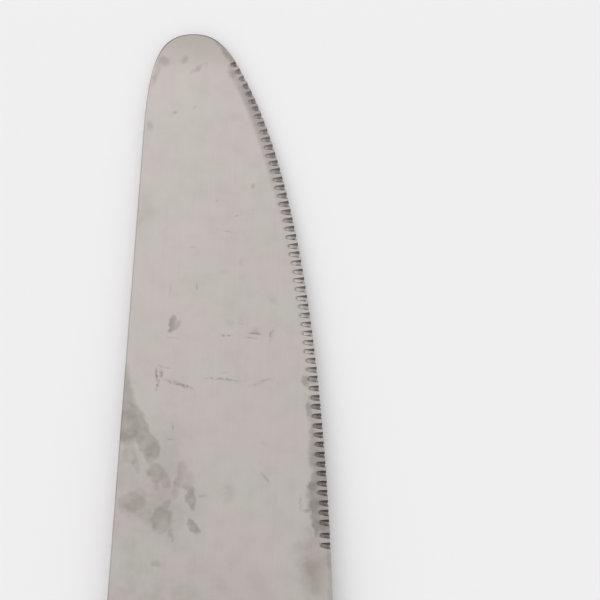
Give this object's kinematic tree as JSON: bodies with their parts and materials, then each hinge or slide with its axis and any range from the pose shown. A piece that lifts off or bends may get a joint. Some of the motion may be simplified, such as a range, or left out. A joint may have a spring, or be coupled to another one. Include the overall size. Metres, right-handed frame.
{
  "type": "serrated table knife",
  "caption": "Stainless table knife with a round-tipped, wedge-ground blade, a fine fluted cutting edge, a flared bolster and a flat-sided hollow handle.",
  "frame": {"origin": "middle of the underside of the knife's box, level with the flat of the handle's left side", "axes": "+Y along the knife to the tip, +X across the blade towards the cutting edge, +Z out of the fluted right face"},
  "size_m": [0.0232, 0.218, 0.0094],
  "materials": {
    "blade_steel": "satin ground stainless steel with tarnish patches and fine scratches",
    "handle_steel": "polished stainless steel with light wear",
    "handle_cement": "matt cast cement"
  },
  "bodies": {
    "root": {"blade": "blade_steel", "bolster": "handle_steel", "handle_shell_right": "handle_steel", "handle_shell_left": "handle_steel", "handle_filler": "handle_cement"}
  },
  "joints": []
}
